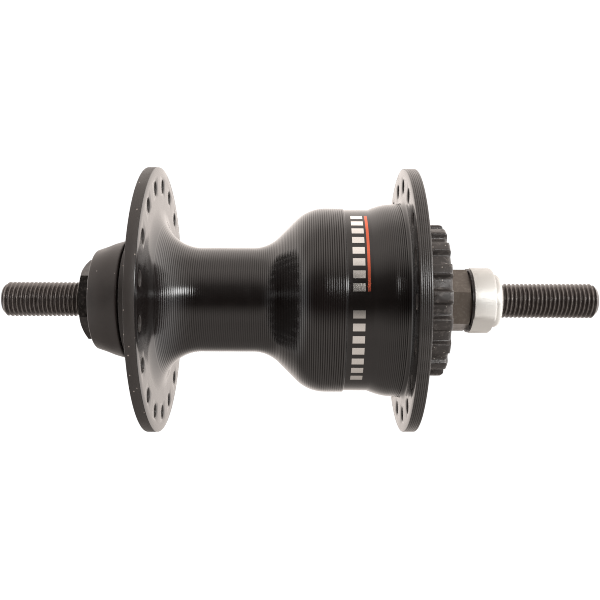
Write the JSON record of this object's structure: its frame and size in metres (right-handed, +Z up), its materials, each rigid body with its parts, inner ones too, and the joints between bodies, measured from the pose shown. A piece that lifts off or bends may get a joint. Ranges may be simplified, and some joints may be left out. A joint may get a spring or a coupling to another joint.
{
  "type": "bicycle front hub",
  "caption": "Solid-axle bicycle front hub with two spoke flanges, a torque-limiting clutch in its barrel and a toothed ring that carries a roller brake.",
  "frame": {"origin": "on the axle's centre line, midway between its ends", "axes": "+X along the axle towards the brake side, +Z up"},
  "size_m": [0.137, 0.0608, 0.0608],
  "materials": {
    "black_thread": "black oxide",
    "black_steel": "black oxide, satin",
    "brown_steel": "brown-black oxide, satin",
    "bright_nut": "turned, bright zinc",
    "cap_rubber": "matt",
    "seal_rubber": "matt",
    "black_anodised": "gloss black anodised, fine-turned",
    "boss_steel": "black, semi-gloss",
    "bearing_steel": "ground",
    "ball_steel": "polished",
    "plain_steel": "plain",
    "spring_steel": "blued",
    "bronze": "sintered"
  },
  "bodies": {
    "axle_set": {"axle": "black_thread", "left_locknut": "black_steel", "left_lock_washer": "plain_steel", "left_cone": "bearing_steel", "left_dust_cap": "cap_rubber", "right_cone": "brown_steel", "right_lock_washer": "black_steel", "brake_fixing_nut": "bright_nut"},
    "shell": {"hub_shell": "black_anodised", "left_cup": "bearing_steel", "left_seal": "seal_rubber", "outer_plate_1": "plain_steel", "outer_plate_2": "plain_steel", "outer_plate_3": "plain_steel", "pressure_plate": "plain_steel", "disc_spring_1": "spring_steel", "disc_spring_2": "spring_steel", "spring_seat": "plain_steel", "retaining_ring": "spring_steel", "boss_bush": "bronze", "boss_dust_seal": "seal_rubber"},
    "brake_drive": {"brake_boss": "boss_steel", "inner_plate_1": "bronze", "inner_plate_2": "bronze", "inner_plate_3": "bronze", "right_cup": "bearing_steel", "right_seal": "seal_rubber"},
    "left_cage": {"left_balls": "ball_steel", "left_retainer": "plain_steel"},
    "right_cage": {"right_balls": "ball_steel", "right_retainer": "plain_steel"}
  },
  "joints": [
    {"name": "hub_spin", "type": "hinge", "parent": "axle_set", "child": "shell", "pos_m": [0, 0, 0], "axis": [1, 0, 0], "continuous": true},
    {"name": "clutch_slip", "type": "hinge", "parent": "shell", "child": "brake_drive", "pos_m": [0.03, 0, 0], "axis": [1, 0, 0], "continuous": true},
    {"name": "left_cage_spin", "type": "hinge", "parent": "axle_set", "child": "left_cage", "pos_m": [-0.0364, 0, 0], "axis": [1, 0, 0], "continuous": true},
    {"name": "right_cage_spin", "type": "hinge", "parent": "axle_set", "child": "right_cage", "pos_m": [0.0274, 0, 0], "axis": [1, 0, 0], "continuous": true}
  ],
  "couplings": [
    {"joint": "left_cage_spin", "follows": "hub_spin", "ratio": 0.6},
    {"joint": "right_cage_spin", "follows": "hub_spin", "ratio": 0.6}
  ]
}
